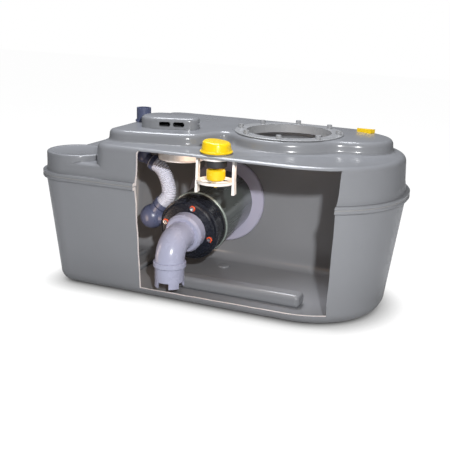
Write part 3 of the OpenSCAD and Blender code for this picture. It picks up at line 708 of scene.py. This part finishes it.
def even_route(count, samples=800):
    fine = [on_route((len(HOSE_ROUTE) - 1) * i / samples) for i in range(samples + 1)]
    lengths = [0.0]
    for a, b in zip(fine, fine[1:]):
        lengths.append(lengths[-1] + (b - a).length)
    out, k = [], 0
    for i in range(count + 1):
        goal = lengths[-1] * i / count
        while k < samples - 1 and lengths[k + 1] < goal:
            k += 1
        t = (goal - lengths[k]) / max(1e-9, lengths[k + 1] - lengths[k])
        out.append(fine[k].lerp(fine[k + 1], min(1.0, t)))
    return out, lengths[-1]


RIBS, RINGS_PER_RIB = 32, 8
hose_path, hose_length = even_route(RIBS * RINGS_PER_RIB)
print("hose length:", round(hose_length, 1), "mm")

# %% [markdown]
# A ring of points is carried along the route, swelling and shrinking once for every rib. The rings are
# bridged into one skin, which turns in at both ends and comes back as a plain bore.

# %% Ribbed hose
VALLEY_R, RIB_HEIGHT, BORE_R = 11.3, 1.7, 10.0
HOSE_SIDES = 40


def hose_ring(build, place, ahead, radius):
    side = ahead.cross(Vector((0, 1, 0))).normalized()
    over = side.cross(ahead)
    turns = [2 * math.pi * s / HOSE_SIDES for s in range(HOSE_SIDES)]
    return [build.verts.new((place + radius * (math.cos(a) * side + math.sin(a) * over)) * MM)
            for a in turns]


def ribbed_hose(path):
    mesh = bpy.data.meshes.new("ribbed_hose")
    build = bmesh.new()
    rings = []
    for i, place in enumerate(path):
        ahead = (path[min(len(path) - 1, i + 1)] - path[max(0, i - 1)]).normalized()
        swell = 0.5 - 0.5 * math.cos(2 * math.pi * i / RINGS_PER_RIB)
        rings.append(hose_ring(build, place, ahead, VALLEY_R + RIB_HEIGHT * swell ** 0.7))
    bore = []
    for place, ring in list(zip(path, rings))[::-2]:
        middle = place * MM
        bore.append([build.verts.new(middle + (vertex.co - middle).normalized() * BORE_R * MM)
                     for vertex in ring])
    order = rings + bore
    for a, b in zip(order, order[1:] + order[:1]):
        for s in range(HOSE_SIDES):
            after = (s + 1) % HOSE_SIDES
            build.faces.new((a[s], a[after], b[after], b[s]))
    bmesh.ops.recalc_face_normals(build, faces=build.faces)
    build.to_mesh(mesh)
    build.free()
    hose = bpy.data.objects.new("ribbed_hose", mesh)
    bpy.context.scene.collection.objects.link(hose)
    return hose


polish(ribbed_hose(hose_path), "tank", "hose", FINISH["hose"], "corrugated_hose", angle=60.0)

# %% [markdown]
# The vent hood is a low dome with a flat face turned a little towards the camera, two wide slots in the
# face and a narrow one round the corner. Its plan is a rounded polygon, grown up, rolled over and
# hollowed, and the slots are rounded bars driven through the shell, so that their ends come out round by
# themselves.

# %% Vent hood
HOOD_PLACE = Matrix.Translation((-0.0825, -0.0555, 0.0)) @ Matrix.Rotation(math.radians(18.4), 4, "Z")
HOOD_CORNERS = [(-33, 0), (37, 0), (43, 30), (21, 63), (-35, 66), (-58, 45), (-58, 13)]
HOOD_ROUND, HOOD_WALL = 16.0, 3.0
HOOD_RISE, HOOD_ROLL, HOLLOW_RISE, HOLLOW_ROLL = 12.8, 5.5, 11.5, 3.5
SLOT_RISE, SLOT_REACH = 8.0, 0.012


def rounded(corners, radius, count=8):
    """Replaces each corner by a few points of a curve that starts and ends a little before it."""
    out = []
    for before, here, after in zip(corners[-1:] + corners[:-1], corners, corners[1:] + corners[:1]):
        a, b, c = Vector(before), Vector(here), Vector(after)
        start = b + (a - b).normalized() * min(radius, (a - b).length * 0.45)
        end = b + (c - b).normalized() * min(radius, (c - b).length * 0.45)
        for i in range(count + 1):
            t = i / count
            out.append(tuple((1 - t) ** 2 * start + 2 * t * (1 - t) * b + t * t * end))
    return out


def slot_bar(x, y, turn, width, height):
    bar = soft_block((0.0, 0.0, 0.0), (width * MM, SLOT_REACH, height * MM), height * 0.45 * MM, 5)
    bar.data.transform(HOOD_PLACE @ Matrix.Translation((x * MM, y * MM, (PLATFORM + SLOT_RISE) * MM))
                       @ Matrix.Rotation(math.radians(turn), 4, "Z"))
    return bar


hood_steps = [(0.0, HOOD_RISE)] + roll_over(HOOD_ROLL) + [(1.0, 0.3), (1.0, 0.2)]
hood_plan = evened(rounded(HOOD_CORNERS, HOOD_ROUND), 120)
hood = grow_from_plan("vent_hood_shell", hood_plan, PLATFORM, hood_steps)
inner_plan = drawn_in(hood_plan, HOOD_WALL)
inner = grow_from_plan("hood_hollow", inner_plan, PLATFORM - 1.0,
                       [(0.0, HOLLOW_RISE)] + roll_over(HOLLOW_ROLL, 6))
combine(hood, inner, "DIFFERENCE")
hood.data.transform(HOOD_PLACE)
for face_x in (-15.0, 8.5):
    combine(hood, slot_bar(face_x, 0.0, turn=0.0, width=19.0, height=8.0), "DIFFERENCE")
combine(hood, slot_bar(40.0, 18.0, turn=82.0, width=13.0, height=7.0), "DIFFERENCE")
polish(hood, "tank", "tank", FINISH["tank"], "vent_hood")

# %% [markdown]
# The yellow knob has a stem, a thin round brim and a broad grip that narrows a little upwards, with a top
# that slopes down to one side. The grip is grown from a softened square, and its upper rings are sheared
# to make the slope. A cut would give the slope too, but it would take the round off the top's edge.

# %% Yellow knob
KNOB_AT = (*VALVE, DECK + 1.2)
STEM_R, GRIP_R = 5.0, 23.2
GRIP_SLOPE, SLOPE_FROM = 0.09, 9.0


def soft_square(radius, power, count=96):
    plan = []
    for i in range(count):
        a = 2 * math.pi * i / count
        c, n = math.cos(a), math.sin(a)
        reach = radius / (abs(c) ** power + abs(n) ** power) ** (1.0 / power)
        plan.append((KNOB_AT[0] + reach * c, KNOB_AT[1] + reach * n))
    return plan


brim_steps = [(-20.0, 0.01), (-0.2, 0.3), (-0.8, 1.2), (0.0, 0.6), (0.8, 1.2), (1.2, 0.7)]
knob = grow_from_plan("knob_shell", soft_square(STEM_R, 2.0), DECK - 11.0, [(0.0, 12.2)] + brim_steps)
grip = grow_from_plan("knob_grip", soft_square(GRIP_R, 2.3), KNOB_AT[2] + 3.0,
                      [(0.0, 1.0), (1.6, 9.0)] + roll_over(4.5, 7))
for vertex in grip.data.vertices:
    if vertex.co.z > (KNOB_AT[2] + SLOPE_FROM) * MM:
        vertex.co.z -= GRIP_SLOPE * (vertex.co.x - KNOB_AT[0] * MM)
combine(knob, grip, "UNION")
polish(knob, "knob", "yellow", FINISH["yellow"], "valve_knob", angle=32.0)

# %% [markdown]
# The dark motor tube ends in a rolled rim next to the pump, and the rim's pale colour is a painted
# highlight on the edge of the tube's end. The dark motor tube ends in a paler rolled rim next to the pump,
# probably the turned-over edge of the sheet. It is a narrow band here: a disc is grown in small steps, so
# that both of its edges are rounded, bored out to the tube's size and laid along the pump's tilted axis.

# %% Tube rim
PUMP_PLACE = Matrix.Translation((-0.0646, 0.0086, 0.1014)) @ Matrix.Rotation(math.radians(96.4), 4, "X")
TUBE_R = 55.0
rim_steps = [(0.0, 0.4), (-1.0, 0.8), (-0.4, 0.8), (0.0, 1.8), (0.4, 0.8), (1.0, 0.8)]
rim = grow_from_plan("tube_rim", ring_plan(0.0, 0.0, TUBE_R + 0.3), -6.0, rim_steps)
combine(rim, drill(0.0, 0.0, TUBE_R + 0.06, -8.0, 2.0), "DIFFERENCE")
rim.data.transform(PUMP_PLACE)
polish(rim, "tank", "tube", FINISH["rim"])

# %% [markdown]
# The photograph has a clean white ground with a soft shadow close to the tank. The floor is a grey paint
# for the light that it throws back at the tank. To the camera it mostly glows white; ambient occlusion dims
# the glow where something stands close above it, a painted contact shadow, and the small lit share of the
# floor keeps its real shadow, so the ground needs no extra light.

# %% Floor
FLOOR_GLOW, FLOOR_GLOW_SEEN, PAINTED_SHADOW_REACH = 1.13, 0.86, 0.04
bpy.context.scene.view_settings.view_transform = "Standard"
begin()
bpy.ops.mesh.primitive_plane_add(size=8.0, location=(0, 0, -0.0005))
floor = bpy.context.object
floor.name = "studio_floor"
floor_finish, floor_tree, floor_shader = new_finish("studio_floor_paint")
floor_shader.inputs["Base Color"].default_value = (0.5, 0.5, 0.5, 1.0)
floor_shader.inputs["Roughness"].default_value = 0.9
glow = floor_tree.nodes.new("ShaderNodeEmission")
# Ambient occlusion darkens the floor's white glow where the tank stands close above it: a painted contact
# shadow.
painted_shadow_occlusion = floor_tree.nodes.new("ShaderNodeAmbientOcclusion")
painted_shadow_occlusion.samples = 8
painted_shadow_occlusion.inputs["Distance"].default_value = PAINTED_SHADOW_REACH
floor_tree.links.new(painted_shadow_occlusion.outputs["Color"], glow.inputs["Color"])
glow.inputs["Strength"].default_value = FLOOR_GLOW
mix = floor_tree.nodes.new("ShaderNodeMixShader")
ends = floor_tree.nodes["Material Output"]
floor_tree.links.new(floor_shader.outputs["BSDF"], mix.inputs[1])
floor_tree.links.new(glow.outputs["Emission"], mix.inputs[2])
rays = floor_tree.nodes.new("ShaderNodeLightPath")
seen = floor_tree.nodes.new("ShaderNodeMath")
seen.operation = "MULTIPLY"
seen.inputs[1].default_value = FLOOR_GLOW_SEEN
floor_tree.links.new(rays.outputs["Is Camera Ray"], seen.inputs[0])
floor_tree.links.new(seen.outputs["Value"], mix.inputs["Fac"])
floor_tree.links.new(mix.outputs["Shader"], ends.inputs["Surface"])
floor.data.materials.append(floor_finish)
print("floor:", tuple(round(v, 1) for v in floor.dimensions), "m")

# %% [markdown]
# The world is white where the camera looks at it, and dim where it only lights the tank, so that the
# lamps can model the rolled edges.

# %% World
WORLD_FILL = 0.16
world = bpy.data.worlds.new("studio_world")
bpy.context.scene.world = world
world.use_nodes = True
sky = world.node_tree
plain = sky.nodes["Background"]
plain.inputs["Color"].default_value = (1.0, 1.0, 1.0, 1.0)
path_rays = sky.nodes.new("ShaderNodeLightPath")
white_seen = sky.nodes.new("ShaderNodeMath")
white_seen.operation = "MAXIMUM"
sky.links.new(path_rays.outputs["Is Camera Ray"], white_seen.inputs[0])
sky.links.new(path_rays.outputs["Is Transmission Ray"], white_seen.inputs[1])
strength = sky.nodes.new("ShaderNodeMapRange")
strength.inputs["To Min"].default_value = WORLD_FILL
strength.inputs["To Max"].default_value = 1.0
sky.links.new(white_seen.outputs["Value"], strength.inputs["Value"])
sky.links.new(strength.outputs["Result"], plain.inputs["Strength"])
print("world fill:", WORLD_FILL)

# %% [markdown]
# Soft lamps above and to the right give the long highlights on the rolled edges. One small lamp stands
# near the camera, as a flash would, and throws the sharp shadows inside the tank. Two weak warm lamps
# light the inside.

# %% Lamps


def soft_lamp(name, place, aim, size, watts, tint=(1.0, 1.0, 1.0)):
    lamp = bpy.data.lights.new(name, "AREA")
    lamp.shape = "RECTANGLE"
    lamp.size, lamp.size_y = size
    lamp.energy = watts
    lamp.color = tint
    holder = bpy.data.objects.new(name, lamp)
    bpy.context.scene.collection.objects.link(holder)
    holder.visible_camera = False
    holder.location = place
    holder.rotation_euler = (Vector(aim) - Vector(place)).to_track_quat("-Z", "Y").to_euler()
    return holder


by_the_camera = camera.matrix_world @ Vector((0.15, 0.18, 0.0))
lamps = [
    soft_lamp("flash_lamp", by_the_camera, aim=(0.0, 0.0, 0.12), size=(0.04, 0.04), watts=19.5),
    soft_lamp("top_lamp", (-0.3, 0.3, 1.6), aim=(0.0, 0.0, 0.2), size=(0.9, 0.7), watts=31.0,
              tint=(0.93, 0.95, 1.0)),
    soft_lamp("right_lamp", (1.6, -0.5, 0.9), aim=(0.1, 0.0, 0.2), size=(0.5, 0.9), watts=0.3),
    soft_lamp("inside_lamp", (0.05, -0.085, 0.243), aim=(0.05, -0.02, 0.0), size=(0.20, 0.07), watts=0.11,
              tint=(1.0, 0.74, 0.56)),
    soft_lamp("left_inside_lamp", (-0.19, -0.125, 0.09), aim=(-0.09, 0.10, 0.13), size=(0.05, 0.10),
              watts=0.11, tint=(1.0, 0.78, 0.62)),
]
print("lamps:", len(lamps))
